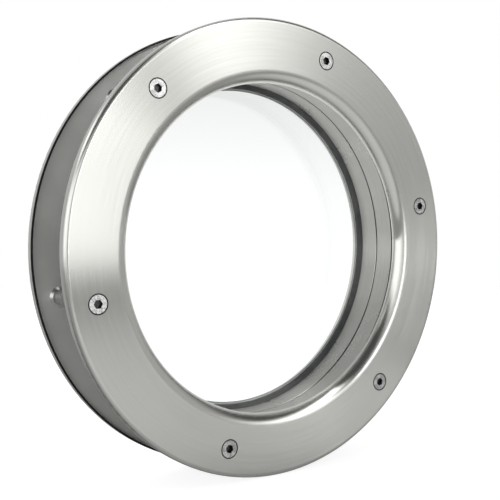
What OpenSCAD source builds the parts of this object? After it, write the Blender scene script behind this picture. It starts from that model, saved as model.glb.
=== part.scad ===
// Round porthole window for a door leaf: two pressed steel flanges clamp the leaf between
// their lips, and hold a glass pane, two liner rings and rubber packings in the opening.
// The axis runs along Y, the front faces -Y, and the origin is the middle of the window.
// Sections are drawn as [radius, height], with height counted inwards from a flange's outer face.

/* [Overall] */
// Outer diameter of both flanges
outer_d = 300; // [240:1:420]
// Thickness of the door leaf between the flanges
leaf_t = 44; // [38:1:70]

/* [Pressed flanges] */
// Thickness of the pressed sheet
sheet_t = 1.5; // [1:0.1:2.2]
// Radial width of a flange, from its outer edge to its opening
flange_w = 41.3; // [39:0.1:60]
// Depth of the outer lip that is turned back towards the leaf
lip_depth = 6.4; // [5:0.1:12]
// Outside radius of the rounded outer edge
edge_r = 3; // [2.5:0.1:5]
// Outside radius of the curled inner edge
curl_r = 8.3; // [7:0.1:10]
// Angle through which the inner edge is curled back
curl_angle = 85; // [75:1:90]

/* [Bore liner] */
// Step from the curled edge out to the liner rings' inner face
liner_step = 4.55; // [3:0.05:7]
// Wall thickness of the liner rings
liner_wall = 2.5; // [2:0.1:4]
// Width of the groove that shows between the two rings
seam_gap = 0.9; // [0.3:0.1:1.2]
// Length of the lap joint that keeps the two rings in line
lap_l = 4; // [2:0.5:8]
// Chamfer on the rings' inner edges at the groove
seam_chamfer = 0.3; // [0.1:0.1:0.6]

/* [Glazing] */
// Thickness of the glass pane
glass_t = 5; // [3:0.5:8]
// Ground chamfer around the pane's two edges
glass_chamfer = 0.5; // [0.2:0.1:1]

/* [Rubber] */
// Height by which the rubber behind the pane stands above the curled edge
back_pad_t = 0.4; // [0.3:0.1:2]
// Thickness of the rubber between the pane and the liner
front_pad_t = 0.3; // [0.3:0.1:2]
// Height of the front packing, from the curled edge to the liner
packing_t = 5.7; // [5:0.1:8]
// Distance from the curled edge back to the face of the rubber behind it
edge_back = 0.5; // [0.3:0.1:1]
// Thickness of the rubber wall around the pane and the liner's ends
rubber_wall = 2.5; // [1.5:0.1:4]
// Length of that wall over a liner ring's end
collar_l = 5; // [2:0.5:8]
// Width of the sealing bead on a flange's lip
bead_w = 1.2; // [0.8:0.1:1.4]
// Thickness of the sealing bead
bead_t = 0.6; // [0.4:0.1:2]

/* [Screws and sleeves] */
// Number of screws
screw_count = 6; // [4:1:12]
// Angle of the first screw above the horizontal
screw_phase = 12.75; // [0:0.25:60]
// Distance from the outer edge to the screw circle
screw_edge = 17.5; // [14:0.5:20]
// Thread diameter of the screws
thread_d = 6; // [5:1:6]
// Diameter of the countersunk heads
head_d = 11.6; // [10:0.1:13]
// Straight land at the top of a head
head_land = 0.3; // [0.1:0.1:0.6]
// Size across the flats of the hexagon socket
socket_af = 5; // [3:0.5:5]
// Depth of the hexagon socket
socket_depth = 2.2; // [1.5:0.1:3]
// Length of a screw, with its head
screw_l = 40; // [30:1:44]
// Chamfer on the end of a screw
screw_chamfer = 1; // [0.5:0.1:1.5]
// Turn of the hexagon socket from one screw to the next
socket_turn = 23; // [0:1:60]
// Outer diameter of the threaded sleeves
sleeve_d = 10; // [9.5:0.5:12]
// Chamfer on the open end of a sleeve
sleeve_chamfer = 0.75; // [0.25:0.05:1]
// Diameter of the weld that joins a sleeve to the rear flange
weld_d = 13.4; // [12.5:0.1:16]
// Height of that weld
weld_h = 1.4; // [0.5:0.1:2]
// Travel left between a sleeve and the front flange for tightening
tighten_gap = 3; // [1:0.5:5]
// Depth of thread left beyond the end of a screw
thread_spare = 4; // [1:0.5:6]

/* [Clearances] */
// Gap between rubber and the metal it seats on
seat_gap = 0.1; // [0.05:0.05:0.3]
// Radial gap of rubber around the pane and the liner
rubber_fit = 0.2; // [0.1:0.05:0.4]
// Radial gap between the lapped ends of the liner rings
lap_fit = 0.1; // [0.05:0.05:0.3]
// Radial gap between a screw head and its countersink
head_fit = 0.1; // [0.05:0.05:0.3]
// Radial gap around a head where the countersink's rim is broken
rim_fit = 0.4; // [0.2:0.1:0.6]
// Depth of that broken rim
rim_depth = 0.5; // [0.2:0.1:0.8]
// Radial gap between a screw's thread and its holes
thread_fit = 0.15; // [0.1:0.05:0.3]

/* [Hidden] */
$fn = 144;

steel = "#b5b6b1";
bright_steel = "#d2d2cf";
rubber = "#232324";
glass = [0.86, 0.93, 0.92, 0.35];

depth = leaf_t + 2 * (lip_depth + bead_t);
outer_r = outer_d / 2;
bore_r = outer_r - flange_w;
screw_r = outer_r - screw_edge;

// The curl is an arc about this point; its inside face ends at the tip
curl_mid_r = bore_r + curl_r * sin(curl_angle);
curl_in_r = curl_r - sheet_t;
tip_r = curl_mid_r - curl_in_r * sin(curl_angle);
tip_h = curl_r - curl_in_r * cos(curl_angle);

// Heights of the glazing stack above the rear face, and of the front packing above the front face
pane_low_h = tip_h + back_pad_t;
pane_top_h = pane_low_h + glass_t;
rear_end_h = pane_top_h + front_pad_t;
front_end_h = tip_h + packing_t;

liner_r = bore_r + liner_step;
liner_out_r = liner_r + liner_wall;
lap_r = liner_r + liner_wall / 2;
pad_r = liner_r + rubber_fit;
rubber_in_r = liner_out_r + rubber_fit;
rubber_out_r = rubber_in_r + rubber_wall;

// The countersink is a dimple pressed into the sheet, with the head's own right angle
head_r = head_d / 2;
thread_r = thread_d / 2;
head_h = head_land + head_r - thread_r;
thread_hole_r = thread_r + thread_fit;
sink_r = head_r + head_fit;
sink_h = head_land + sink_r - thread_hole_r;
dimple_wall = sheet_t * sqrt(2);
dimple_h = sink_h + sheet_t / 2;

sleeve_top_h = dimple_h + tighten_gap;
sleeve_l = depth - sheet_t - sleeve_top_h;
thread_l = screw_l - sleeve_top_h + thread_spare;

// Overlap of cutting shapes past the faces they cut
cut = 1;

// Turns a drawn section into a ring whose height runs from the front face along +Y
module front_ring() {
    translate([0, -depth / 2, 0])
        rotate([-90, 0, 0])
            rotate_extrude()
                children();
}

// The same, with its height counted from the rear face
module rear_ring() {
    mirror([0, 1, 0])
        front_ring()
            children();
}

// A rectangle between two radii and two heights
module band(r_in, r_out, h_low, h_top) {
    translate([r_in, h_low])
        square([r_out - r_in, h_top - h_low]);
}

// Puts the shape at every screw, its axis along +Y from the front face
module at_screws() {
    for (i = [0 : screw_count - 1])
        rotate([0, -screw_phase - i * 360 / screw_count, 0])
            translate([screw_r, -depth / 2, 0])
                rotate([-90, 0, 0])
                    rotate([0, 0, i * socket_turn])
                        children();
}

// Arc of sheet from the flat web round to the curled inner edge
module curl_section() {
    reach = 2 * curl_r;
    translate([curl_mid_r, curl_r])
        intersection() {
            difference() {
                circle(curl_r);
                circle(curl_in_r);
            }
            polygon([[0, 0], [0, -reach], [-reach * sin(curl_angle), -reach * cos(curl_angle)]]);
        }
}

// Flat web, rounded outer edge and lip, filled up to a height and taken in by an inset
module lip_outline(inset, h_top) {
    translate([outer_r - edge_r, edge_r])
        circle(edge_r - inset);
    band(curl_mid_r, outer_r - edge_r, inset, h_top);
    band(curl_mid_r, outer_r - inset, edge_r, h_top);
}

// The pressed sheet that both flanges share
module flange_section() {
    curl_section();
    difference() {
        lip_outline(0, lip_depth);
        lip_outline(sheet_t, lip_depth + cut);
    }
}

// Room for rubber behind a curl, up to a given height
module rubber_section(r_in, h_top) {
    intersection() {
        band(r_in, rubber_out_r, 0, h_top);
        union() {
            translate([curl_mid_r, curl_r])
                circle(curl_in_r - seat_gap);
            band(tip_r, rubber_out_r + cut, curl_r, depth / 2);
        }
    }
}

module bead_section() {
    bead_mid_r = outer_r - sheet_t / 2;
    band(bead_mid_r - bead_w / 2, bead_mid_r + bead_w / 2, lip_depth, lip_depth + bead_t);
}

module front_flange() {
    color(steel)
        difference() {
            union() {
                front_ring() flange_section();
                at_screws()
                    translate([0, 0, sheet_t / 2])
                        cylinder(h = dimple_h - sheet_t / 2,
                                 r1 = sink_r + dimple_wall + head_land - sheet_t / 2,
                                 r2 = sink_r + dimple_wall + head_land - dimple_h);
            }
            at_screws() {
                translate([0, 0, -cut])
                    cylinder(h = cut + rim_depth, r = head_r + rim_fit);
                translate([0, 0, head_land])
                    cylinder(h = sink_r - thread_hole_r, r1 = sink_r, r2 = thread_hole_r);
                cylinder(h = dimple_h + cut, r = thread_hole_r);
            }
        }
}

module rear_flange() {
    color(steel)
        rear_ring() flange_section();
}

// The front ring's inner half runs on to the groove, inside the rear ring's tongue
module front_liner_ring() {
    color(steel)
        front_ring()
            polygon([
                [liner_r, front_end_h],
                [liner_out_r, front_end_h],
                [liner_out_r, depth / 2 - lap_l],
                [lap_r - lap_fit / 2, depth / 2 - lap_l],
                [lap_r - lap_fit / 2, (depth - seam_gap) / 2],
                [liner_r + seam_chamfer, (depth - seam_gap) / 2],
                [liner_r, (depth - seam_gap) / 2 - seam_chamfer]
            ]);
}

module rear_liner_ring() {
    color(steel)
        rear_ring()
            polygon([
                [liner_r, rear_end_h],
                [liner_out_r, rear_end_h],
                [liner_out_r, depth / 2 + lap_l],
                [lap_r + lap_fit / 2, depth / 2 + lap_l],
                [lap_r + lap_fit / 2, (depth - seam_gap) / 2],
                [liner_r + seam_chamfer, (depth - seam_gap) / 2],
                [liner_r, (depth - seam_gap) / 2 - seam_chamfer]
            ]);
}

module glass_pane() {
    color(glass)
        rear_ring()
            polygon([
                [0, pane_low_h],
                [liner_out_r - glass_chamfer, pane_low_h],
                [liner_out_r, pane_low_h + glass_chamfer],
                [liner_out_r, pane_top_h - glass_chamfer],
                [liner_out_r - glass_chamfer, pane_top_h],
                [0, pane_top_h]
            ]);
}

// Rubber channel round the pane: a wedge behind the rear curl, a wall and a pad under the liner
module glazing_gasket() {
    color(rubber)
        rear_ring()
            difference() {
                rubber_section(tip_r + edge_back, rear_end_h + collar_l);
                polygon([
                    [bore_r, pane_low_h],
                    [rubber_in_r, pane_low_h],
                    [rubber_in_r, pane_top_h],
                    [pad_r, pane_top_h],
                    [pad_r, rear_end_h],
                    [rubber_in_r, rear_end_h],
                    [rubber_in_r, depth / 2],
                    [bore_r, depth / 2]
                ]);
            }
}

// Rubber block that holds the liner off the front curl and grips its end
module front_packing_ring() {
    color(rubber)
        front_ring()
            difference() {
                rubber_section(pad_r, front_end_h + collar_l);
                band(bore_r, rubber_in_r, front_end_h, depth / 2);
            }
}

module front_lip_seal() {
    color(rubber)
        front_ring() bead_section();
}

module rear_lip_seal() {
    color(rubber)
        rear_ring() bead_section();
}

module threaded_sleeves() {
    color(bright_steel)
        at_screws()
            translate([0, 0, sleeve_top_h])
                difference() {
                    union() {
                        cylinder(h = sleeve_chamfer, d1 = sleeve_d - 2 * sleeve_chamfer, d2 = sleeve_d);
                        translate([0, 0, sleeve_chamfer])
                            cylinder(h = sleeve_l - sleeve_chamfer, d = sleeve_d);
                        translate([0, 0, sleeve_l - weld_h])
                            cylinder(h = weld_h, d1 = sleeve_d, d2 = weld_d);
                    }
                    translate([0, 0, -cut])
                        cylinder(h = thread_l + cut, r = thread_hole_r);
                }
}

module clamp_screws() {
    color(bright_steel)
        at_screws()
            difference() {
                union() {
                    cylinder(h = head_land, r = head_r);
                    translate([0, 0, head_land])
                        cylinder(h = head_r - thread_r, r1 = head_r, r2 = thread_r);
                    translate([0, 0, head_h])
                        cylinder(h = screw_l - head_h - screw_chamfer, r = thread_r);
                    translate([0, 0, screw_l - screw_chamfer])
                        cylinder(h = screw_chamfer, r1 = thread_r, r2 = thread_r - screw_chamfer);
                }
                translate([0, 0, -cut])
                    cylinder(h = socket_depth + cut, d = socket_af / cos(30), $fn = 6);
            }
}

front_flange();
rear_flange();
front_liner_ring();
rear_liner_ring();
glass_pane();
glazing_gasket();
front_packing_ring();
front_lip_seal();
rear_lip_seal();
threaded_sleeves();
clamp_screws();
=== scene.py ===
"""Studio scene of a round steel porthole window, in metres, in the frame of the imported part."""

import math
from collections import namedtuple

import bpy
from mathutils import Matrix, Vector


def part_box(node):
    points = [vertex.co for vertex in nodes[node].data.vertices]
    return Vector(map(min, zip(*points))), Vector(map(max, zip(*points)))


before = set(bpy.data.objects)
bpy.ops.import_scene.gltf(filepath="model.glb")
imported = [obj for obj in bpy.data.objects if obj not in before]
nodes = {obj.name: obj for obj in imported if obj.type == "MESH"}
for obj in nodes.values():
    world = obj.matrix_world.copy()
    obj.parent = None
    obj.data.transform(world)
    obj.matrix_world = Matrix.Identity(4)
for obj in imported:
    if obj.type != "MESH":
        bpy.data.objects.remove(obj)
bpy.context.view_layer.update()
scene = bpy.context.scene
scene.view_settings.view_transform = "Standard"

# Camera: place, degrees to the right of the front and up, focal length and sensor width in mm
CAMERA_PLACE = (-0.33987, -0.48584, 0.01947)
CAMERA_TURN, CAMERA_TILT = -34.698, 2.028
LENS, SENSOR = 62.46, 36.0

# Roundings of a flange: radius and height of the circle that each turns about, and its own radius
CURL_ROUND = (0.116968, 0.0207, 0.0083)
EDGE_ROUND = (0.147, 0.026, 0.003)
SHEET = 0.0015

# Radii between which a flange has its brushed face, and over which its edge and its lip begin
FACE_BAND, FACE_SOFT = (0.1155, 0.1475), 0.0015
EDGE_BAND = (0.1465, 0.148)
LIP_BAND = (0.1492, 0.1498)

# Depth times facing over which a flange's side counts as hidden, and facing from which it counts as flat
HIDDEN_BAND, FLAT_FACING = (-0.006, -0.002), 0.9995

# Screw circle: number of screws, angle of the first in degrees, pitch radius and radius of a head
SCREWS, SCREW_PHASE, SCREW_PITCH, HEAD_R = 6, 12.75, 0.1325, 0.0058

# Depths over which a head's socket begins and a countersink ends, and the distances over which their rims do
HEAD_DEPTHS, SINK_DEPTHS = (-0.0289, -0.0286), (-0.025, -0.024)
HEAD_RIM, SINK_RIM = (HEAD_R - 0.0004, HEAD_R - 0.0002), (HEAD_R + 0.00045, HEAD_R + 0.0006)

# Groove between the liner rings, where shade is painted: half its width, and the radii over which it begins
GROOVE_HALF, GROOVE_SOFT, GROOVE_BAND = 0.0005, 0.00005, (0.1133, 0.1136)

# Brushing: noise scale across it and along it, and how far it shifts with depth
FINE_GRAIN, STREAK_GRAIN, TURNED_GRAIN = (3800.0, 26.0), (700.0, 12.0), (2600.0, 18.0)
DEPTH_SHIFT = 1.37

# Colours, each from dark to light, and roughness of the metals
STEEL = ((0.56, 0.56, 0.532), (0.625, 0.625, 0.594))
ROLLED = ((0.65, 0.65, 0.63), (0.74, 0.74, 0.72))
LINER = ((0.39, 0.39, 0.37), (0.49, 0.49, 0.465))
SLEEVE = ((0.5, 0.5, 0.49), (0.66, 0.66, 0.65))
SCREW = ((0.36, 0.36, 0.35), (0.68, 0.68, 0.67))
FACE_ROUGH, CURL_ROUGH, EDGE_ROUGH, ROLLED_ROUGH, TURNED_ROUGH = 0.21, 0.16, 0.24, 0.35, 0.3
EDGE_GRAIN, LINER_GRAIN, ROLLED_METAL, LIP_PAINTED_SHADE = 0.3, 0.95, 0.3, 0.38
# Black, and the colour of the painted shade in the countersinks
BLACK, SINK_PAINTED_SHADE = (0.0, 0.0, 0.0), (0.04, 0.04, 0.04)
# Colours of the painted shade in the screw sockets and around the heads, and in the liner groove
SOCKET_PAINTED_SHADE, GROOVE_PAINTED_SHADE = (0.06, 0.06, 0.06), (0.12, 0.12, 0.12)
ACROSS_GRAIN = 0.25

# Noise, as scale and detail, and the values between which it mostly lies
FLANGE_CLOUD, TURNED_CLOUD, SCREW_CLOUD, SCREW_SPECK = (21.0, 4.0), (30.0, 4.0), (160.0, 3.0), (900.0, 4.0)
PEBBLE, DUST, SMEAR, WAVE, FIBRES = (2400.0, 2.0), (60.0, 5.0), (14.0, 5.0, 0.6), (7.0, 1.0), (40.0, 3.0)
NOISE_SPAN = (0.3, 0.7)

# Bumps: strength and distance
FACE_BUMP, TURNED_BUMP, SCREW_BUMP = (0.05, 0.00006), (0.04, 0.00006), (0.12, 0.00005)
PEBBLE_BUMP, WAVE_BUMP = (0.25, 0.00006), (0.02, 0.0004)

# Rubber, from clean to dusty, and its shine; glass
GREY_RUBBER, GREY_SHINE = ((0.13, 0.13, 0.132), (0.19, 0.19, 0.19)), 0.5
BLACK_RUBBER, BLACK_SHINE = ((0.015, 0.015, 0.016), (0.03, 0.03, 0.03)), 0.2
GLASS_TINT, GLASS_IOR = (0.975, 0.99, 0.985), 1.5

# Light of the room in front of the window, low and high up, and behind it
ROOM_LOW, ROOM_HIGH, ROOM_BACK = 0.56, 0.08, 0.95
ROOM_RISE, ROOM_TURN = (14.0, 38.0), (-0.1, 0.3)

# Soft windows of light: degrees to the right of the front and up, width and height, soft edges, added level
WINDOWS = {
    "left": ((-67, 5), (92, 42), (19, 8), 1.2),
    "high_left": ((-117, 39), (68, 15), (16, 7), 2.6),
    "front": ((17, 6), (10.5, 19), (3, 2), 4.0),
    "upper": ((32, 40), (19, 56), (10, 12), 2.8),
    "top": ((18, 60), (20, 36), (8, 8), 3.0),
}

# White behind the window as the camera sees it, and through the pane, from low to high up
BACKDROP = 1.0
THROUGH_RISE, THROUGH_LOW, THROUGH_HIGH = (-0.02, 0.24), 1.1, 0.775

# Floor: colour near the window and far from it, and the middle, radius and soft edge of its pale patch, a
# painted pool of light
FLOOR_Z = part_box("front_flange")[0].z
FLOOR_R, FLOOR_SIDES = 1.6, 96
FLOOR_NEAR, FLOOR_FAR = 0.9, 0.32
PATCH_PLACE, PATCH_R, PATCH_SOFT = (0.0, -0.4), 0.36, 0.1

# White of the floor as the camera sees it, its colour under the shadow, and how much of it shows in metal
FLOOR_WHITE, FLOOR_SHADE = 0.85, (0.3, 0.3, 0.3)
METAL_FRONT, METAL_BEHIND, METAL_DEPTHS = 0.1, 0.5, (0.05, 0.25)

Place = namedtuple("Place", "point x y z radius across")


class Tree:
    """Builds one node tree: add() makes a node, and links are given as sockets."""

    def __init__(self, owner):
        owner.use_nodes = True
        self.tree = owner.node_tree
        self.tree.nodes.clear()

    def add(self, kind, out=0, **settings):
        """A new node's output, or the node itself where out is None."""
        node = self.tree.nodes.new(kind)
        inputs = settings.pop("inputs", {})
        for key, value in settings.items():
            setattr(node, key, value)
        for key, value in inputs.items():
            if isinstance(value, bpy.types.NodeSocket):
                self.tree.links.new(value, node.inputs[key])
            else:
                node.inputs[key].default_value = value
        return node.outputs[out] if out is not None else node

    def math(self, operation, a, b=0.0):
        return self.add("ShaderNodeMath", operation=operation, inputs={0: a, 1: b})

    def weigh(self, *parts):
        """Sum of values, each times its weight."""
        total = None
        for value, weight in parts:
            share = self.math("MULTIPLY", value, weight)
            total = share if total is None else self.math("ADD", total, share)
        return total

    def span(self, value, ends, low=0.0, high=1.0):
        """Goes smoothly from low to high while a value goes from one end to the other."""
        return self.add("ShaderNodeMapRange", interpolation_type="SMOOTHSTEP",
                        inputs={0: value, 1: ends[0], 2: ends[1], 3: low, 4: high})

    def between(self, value, ends, soft):
        """1 where a value lies between two ends, falling off softly to 0 outside them."""
        low, high = ends
        return self.math("MULTIPLY", self.span(value, (low - soft, low + soft)),
                         self.span(value, (high - soft, high + soft), 1.0, 0.0))

    def blend(self, fac, a, b):
        """Mixes two numbers by a 0 to 1 value."""
        return self.add("ShaderNodeMix", inputs={0: fac, 2: a, 3: b})

    def colour(self, fac, a, b):
        """Mixes two colours, each a socket or three numbers, by a 0 to 1 value."""
        a, b = (side if isinstance(side, bpy.types.NodeSocket) else (*side, 1) for side in (a, b))
        return self.add("ShaderNodeMix", out=2, data_type="RGBA", inputs={0: fac, 6: a, 7: b})

    def vector(self, fac, a, b):
        """Mixes two vectors by a 0 to 1 value."""
        return self.add("ShaderNodeMix", out=1, data_type="VECTOR", inputs={0: fac, 4: a, 5: b})

    def join(self, x=0.0, y=0.0, z=0.0):
        return self.add("ShaderNodeCombineXYZ", inputs={0: x, 1: y, 2: z})

    def split(self, vector):
        return self.add("ShaderNodeSeparateXYZ", out=None, inputs={0: vector}).outputs

    def length(self, vector):
        return self.add("ShaderNodeVectorMath", out=1, operation="LENGTH", inputs={0: vector})

    def noise(self, vector, scale, detail, rough=0.55):
        return self.add("ShaderNodeTexNoise", inputs={
            "Vector": vector, "Scale": scale, "Detail": detail, "Roughness": rough})

    def bump(self, height, strength, distance, **links):
        return self.add("ShaderNodeBump", inputs={
            "Height": height, "Strength": strength, "Distance": distance, **links})

    def principled(self, **inputs):
        """Principled shader, with an underscore in place of each space in an input's name."""
        return self.add("ShaderNodeBsdfPrincipled", inputs={
            name.replace("_", " "): value for name, value in inputs.items()})

    def surface(self, socket):
        self.add("ShaderNodeOutputMaterial", out=None, inputs={"Surface": socket})


def new_material(name):
    """An empty material and its tree."""
    mat = bpy.data.materials.new(name)
    return mat, Tree(mat)


def object_place(t):
    return t.add("ShaderNodeTexCoord", out=3)


def ring_place(t):
    """Object position and its parts, its distance from the ring's axis, and a length across the brushing."""
    point = object_place(t)
    x, y, z = t.split(point)
    radius = t.length(t.join(x=x, z=z))
    across = t.math("ADD", radius, t.math("MULTIPLY", y, DEPTH_SHIFT))
    return Place(point, x, y, z, radius, across)


def grain(t, at, scales, detail):
    """Noise that is fine across the brushing and long along it."""
    across, along = scales
    space = t.join(t.math("MULTIPLY", at.across, across), t.math("MULTIPLY", at.x, along),
                   t.math("MULTIPLY", at.z, along))
    return t.noise(space, 1.0, detail)


def around_axis(t):
    return t.add("ShaderNodeTangent", direction_type="RADIAL", axis="Y")


def from_screw(t, at):
    """Distance of a place from the axis of the nearest screw."""
    half = 180.0 / SCREWS
    turn = t.math("DEGREES", t.math("ARCTAN2", at.z, at.x))
    turn = t.add("ShaderNodeMath", operation="WRAP",
                 inputs={0: t.math("SUBTRACT", turn, SCREW_PHASE), 1: half, 2: -half})
    turn = t.math("RADIANS", turn)
    along = t.math("SUBTRACT", t.math("MULTIPLY", at.radius, t.math("COSINE", turn)), SCREW_PITCH)
    beside = t.math("MULTIPLY", at.radius, t.math("SINE", turn))
    return t.length(t.join(along, beside))


def round_normal(t, at, normal, shape, outside):
    """Puts the exact normal of a rounding in place of the faceted one, on both flanges."""
    mid_r, mid_y, size = shape
    out = t.math("SUBTRACT", at.radius, mid_r)
    rise = t.math("SUBTRACT", t.math("ABSOLUTE", at.y), mid_y)
    part = t.math("DIVIDE", out, at.radius)
    true = t.join(t.math("MULTIPLY", at.x, part), t.math("MULTIPLY", rise, t.math("SIGN", at.y)),
                  t.math("MULTIPLY", at.z, part))

    # The rounding is the outer skin of the sheet, above its circle's middle and on one side of it
    side = t.math("GREATER_THAN" if outside else "LESS_THAN", out, 0.0)
    above = t.math("GREATER_THAN", rise, 0.0)
    skin = t.math("GREATER_THAN", t.length(true), size - SHEET / 2)
    zone = t.math("MULTIPLY", side, t.math("MULTIPLY", above, skin))
    return t.vector(zone, normal, t.add("ShaderNodeVectorMath", operation="NORMALIZE", inputs={0: true}))


def flange_steel():
    """Sheet brushed around the ring on its face, polished on the curl and dull on its hidden side."""
    mat, t = new_material("flange_steel")
    at = ring_place(t)
    true_normal = t.add("ShaderNodeNewGeometry", out=3)
    facing = t.split(true_normal)[1]
    fine = grain(t, at, FINE_GRAIN, 2.0)
    streak = grain(t, at, STREAK_GRAIN, 3.0)
    cloud = t.noise(at.point, *FLANGE_CLOUD)
    tone = t.span(t.weigh((fine, 0.3), (streak, 0.5), (cloud, 0.2)), (0.32, 0.68))

    # The hidden side faces the middle of the leaf and keeps the rolled sheet's finish
    hidden = t.span(t.math("MULTIPLY", facing, at.y), HIDDEN_BAND, 1.0, 0.0)
    rolled = t.colour(t.span(cloud, (0.35, 0.65)), *ROLLED)
    base = t.colour(hidden, t.colour(tone, *STEEL), rolled)

    # Painted shade darkens the turned-back lip against the face
    base = t.colour(t.span(at.radius, LIP_BAND, 0.0, LIP_PAINTED_SHADE), base, BLACK)

    # Painted shade darkens the countersinks and the flange around their rims
    painted_recess_shade = t.span(from_screw(t, at), SINK_RIM, 1.0, 0.0)
    painted_recess_shade = t.math("MULTIPLY", painted_recess_shade, t.span(at.y, SINK_DEPTHS, 1.0, 0.0))
    painted_recess_shade = t.math("MULTIPLY", painted_recess_shade, t.math("SUBTRACT", 1.0, hidden))
    base = t.colour(painted_recess_shade, base, SINK_PAINTED_SHADE)

    face = t.between(at.radius, FACE_BAND, FACE_SOFT)
    edge = t.span(at.radius, EDGE_BAND)
    worn = t.math("ADD", t.span(streak, NOISE_SPAN, -0.01, 0.01), t.span(cloud, (0.4, 0.75), 0.0, 0.02))
    rough = t.blend(edge, t.blend(face, CURL_ROUGH, FACE_ROUGH), EDGE_ROUGH)
    rough = t.blend(hidden, t.math("ADD", rough, worn), ROLLED_ROUGH)

    # Flat faces take their true normal, and roundings their exact one
    flat = t.math("GREATER_THAN", t.math("ABSOLUTE", facing), FLAT_FACING)
    normal = t.vector(flat, t.add("ShaderNodeNewGeometry", out=1), true_normal)
    normal = round_normal(t, at, normal, CURL_ROUND, False)
    normal = round_normal(t, at, normal, EDGE_ROUND, True)
    strength, distance = FACE_BUMP
    t.surface(t.principled(
        Base_Color=base, Metallic=t.span(hidden, (0.0, 1.0), 1.0, ROLLED_METAL), Roughness=rough,
        Normal=t.bump(fine, t.math("MULTIPLY", face, strength), distance, Normal=normal),
        Anisotropic=t.span(t.math("MAXIMUM", edge, hidden), (0.0, 1.0), 1.0, EDGE_GRAIN),
        Anisotropic_Rotation=ACROSS_GRAIN, Tangent=around_axis(t)))
    return mat


def turned_steel(name, colours, ring):
    """Turned or rolled steel with faint lines and clouds; a liner ring is brushed, with painted shade in the
    groove between the rings.
    """
    mat, t = new_material(name)
    at = ring_place(t)
    fine = grain(t, at, TURNED_GRAIN, 2.0)
    cloud = t.noise(at.point, *TURNED_CLOUD)
    metal = t.colour(t.span(t.weigh((fine, 0.6), (cloud, 0.4)), (0.34, 0.66)), *colours)
    brushed = {}
    if ring:
        # Painted shade along the groove between the two rings
        groove = t.math("MULTIPLY", t.between(at.y, (-GROOVE_HALF, GROOVE_HALF), GROOVE_SOFT),
                        t.span(at.radius, GROOVE_BAND))
        metal = t.colour(groove, metal, GROOVE_PAINTED_SHADE)
        brushed = {"Anisotropic": LINER_GRAIN, "Anisotropic_Rotation": ACROSS_GRAIN,
                   "Tangent": around_axis(t)}
    t.surface(t.principled(
        Base_Color=metal, Metallic=1.0, Normal=t.bump(fine, *TURNED_BUMP),
        Roughness=t.span(cloud, NOISE_SPAN, TURNED_ROUGH - 0.04, TURNED_ROUGH + 0.04), **brushed))
    return mat


def screw_steel():
    """Bright cold headed steel with light wear, and painted shade in its socket and around its head."""
    mat, t = new_material("screw_steel")
    at = ring_place(t)
    speck = t.noise(at.point, *SCREW_SPECK)
    cloud = t.noise(at.point, *SCREW_CLOUD)
    metal = t.colour(t.span(t.weigh((cloud, 0.5), (speck, 0.5)), (0.4, 0.6)), *SCREW)
    # Painted shade in the socket and on the head's rim, beside the gap to the countersink
    rim = t.span(from_screw(t, at), HEAD_RIM)
    painted_recess_shade = t.math("MAXIMUM", t.span(at.y, HEAD_DEPTHS), rim)
    t.surface(t.principled(
        Base_Color=t.colour(painted_recess_shade, metal, SOCKET_PAINTED_SHADE), Metallic=1.0,
        Roughness=t.span(speck, NOISE_SPAN, 0.2, 0.34), Normal=t.bump(speck, *SCREW_BUMP)))
    return mat


def rubber(name, colours, shine):
    """Matt moulded rubber with a fine pebble and dusty patches."""
    mat, t = new_material(name)
    place = object_place(t)
    pebble = t.noise(place, *PEBBLE)
    dust = t.noise(place, *DUST)
    t.surface(t.principled(
        Base_Color=t.colour(t.span(dust, (0.45, 0.8)), *colours), Specular_IOR_Level=shine,
        Roughness=t.span(dust, NOISE_SPAN, 0.5, 0.68), Normal=t.bump(pebble, *PEBBLE_BUMP)))
    return mat


def clear_glass():
    """Clear float glass, a touch green, with very slight waviness and smears."""
    mat, t = new_material("clear_glass")
    place = object_place(t)
    smear = t.noise(place, *SMEAR)
    wave = t.noise(place, *WAVE)
    pane = t.principled(
        Base_Color=(*GLASS_TINT, 1), Roughness=t.span(smear, (0.5, 0.8), 0.0, 0.03), IOR=GLASS_IOR,
        Transmission_Weight=1.0, Normal=t.bump(wave, *WAVE_BUMP))

    # Light falls through the pane onto the rubber behind it
    path = t.add("ShaderNodeLightPath", out=None)
    clear = t.add("ShaderNodeBsdfTransparent", inputs={"Color": (*GLASS_TINT, 1)})
    for ray in ("Is Diffuse Ray", "Is Shadow Ray"):
        pane = t.add("ShaderNodeMixShader", inputs={0: path.outputs[ray], 1: pane, 2: clear})
    t.surface(pane)
    return mat


def dress():
    """Gives each piece of the part its finish."""
    flange = flange_steel()
    liner = turned_steel("liner_steel", LINER, True)
    grey = rubber("gasket_rubber", GREY_RUBBER, GREY_SHINE)
    black = rubber("black_rubber", BLACK_RUBBER, BLACK_SHINE)
    looks = {
        "front_flange": flange, "rear_flange": flange,
        "front_liner_ring": liner, "rear_liner_ring": liner,
        "threaded_sleeves": turned_steel("sleeve_steel", SLEEVE, False),
        "clamp_screws": screw_steel(),
        "glass_pane": clear_glass(),
        "glazing_gasket": grey, "front_packing_ring": black,
        "front_lip_seal": black, "rear_lip_seal": black,
    }
    for name, look in looks.items():
        mesh = nodes[name].data
        mesh.materials.clear()
        mesh.materials.append(look)


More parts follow.
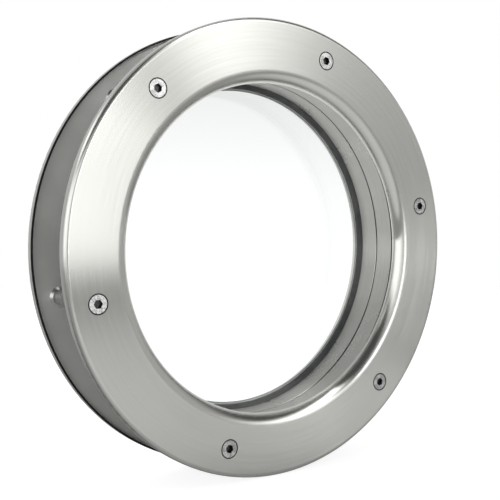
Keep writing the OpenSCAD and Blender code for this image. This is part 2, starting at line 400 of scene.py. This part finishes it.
def floor_paper():
    """Paper that reads as white to the camera, keeps the soft shadow and has a painted pool of light in
    front of the window.
    """
    mat, t = new_material("studio_floor")
    path = t.add("ShaderNodeLightPath", out=None)
    place = object_place(t)
    in_metal = t.span(t.split(place)[1], METAL_DEPTHS, METAL_FRONT, METAL_BEHIND)
    seen = t.math("MAXIMUM", t.math("MULTIPLY", path.outputs["Is Glossy Ray"], in_metal),
                  t.math("MAXIMUM", path.outputs["Is Camera Ray"], path.outputs["Is Transmission Ray"]))
    away = t.add("ShaderNodeVectorMath", out=1, operation="DISTANCE",
                 inputs={0: place, 1: (*PATCH_PLACE, FLOOR_Z)})
    fibres = t.span(t.noise(place, *FIBRES), NOISE_SPAN, -0.02, 0.02)
    # Painted pool of light: the paper is paler in front of the window
    painted_light_pool = t.span(away, (PATCH_R - PATCH_SOFT, PATCH_R + PATCH_SOFT), FLOOR_NEAR, FLOOR_FAR)
    painted_light_pool = t.math("ADD", fibres, painted_light_pool)
    paper = t.add("ShaderNodeBsdfDiffuse", inputs={
        "Color": t.add("ShaderNodeCombineColor", inputs={0: painted_light_pool, 1: painted_light_pool, 2: painted_light_pool})})
    shade = t.add("ShaderNodeBsdfDiffuse", inputs={"Color": (*FLOOR_SHADE, 1)})
    white = t.add("ShaderNodeEmission", inputs={"Color": (1, 1, 1, 1), "Strength": FLOOR_WHITE})
    t.surface(t.add("ShaderNodeMixShader", inputs={
        0: seen, 1: paper, 2: t.add("ShaderNodeAddShader", inputs={0: shade, 1: white})}))
    return mat


def make_floor():
    mesh = bpy.data.meshes.new("studio_floor")
    turns = [i * math.tau / FLOOR_SIDES for i in range(FLOOR_SIDES)]
    rim = [(FLOOR_R * math.cos(turn), FLOOR_R * math.sin(turn), FLOOR_Z) for turn in turns]
    mesh.from_pydata(rim, [], [tuple(range(FLOOR_SIDES))])
    mesh.materials.append(floor_paper())
    floor = bpy.data.objects.new("studio_floor", mesh)
    scene.collection.objects.link(floor)


def make_world():
    """Studio room: white behind the window, and a dim room with soft windows of light in front of it."""
    world = bpy.data.worlds.new("studio")
    scene.world = world
    t = Tree(world)
    x, y, z = t.split(t.add("ShaderNodeTexCoord", out=0))
    path = t.add("ShaderNodeLightPath", out=None)
    turn = t.math("DEGREES", t.math("ARCTAN2", x, t.math("MULTIPLY", y, -1.0)))
    rise = t.math("DEGREES", t.math("ARCSINE", z))

    lights = []
    for (turn_mid, rise_mid), (width, height), (side, end), level in WINDOWS.values():
        beside = t.between(turn, (turn_mid - width / 2, turn_mid + width / 2), side)
        above = t.between(rise, (rise_mid - height / 2, rise_mid + height / 2), end)
        lights.append((t.math("MULTIPLY", beside, above), level))

    room = t.blend(t.span(y, ROOM_TURN), t.span(rise, ROOM_RISE, ROOM_LOW, ROOM_HIGH), ROOM_BACK)
    studio = t.math("ADD", room, t.weigh(*lights))
    through = t.span(z, THROUGH_RISE, THROUGH_LOW, THROUGH_HIGH)
    shown = t.blend(path.outputs["Is Transmission Ray"], studio, through)
    shown = t.blend(path.outputs["Is Camera Ray"], shown, BACKDROP)
    light = t.add("ShaderNodeBackground", inputs={"Color": (1, 1, 1, 1), "Strength": shown})
    t.add("ShaderNodeOutputWorld", out=None, inputs={"Surface": light})


def make_camera():
    turn, tilt = math.radians(CAMERA_TURN), math.radians(CAMERA_TILT)
    back = Vector((math.sin(turn) * math.cos(tilt), -math.cos(turn) * math.cos(tilt), math.sin(tilt)))
    data = bpy.data.cameras.new("camera")
    data.lens, data.sensor_width = LENS, SENSOR
    camera = bpy.data.objects.new("camera", data)
    camera.location = CAMERA_PLACE
    camera.rotation_euler = back.to_track_quat("Z", "Y").to_euler()
    scene.collection.objects.link(camera)
    scene.camera = camera


dress()
make_floor()
make_world()
make_camera()
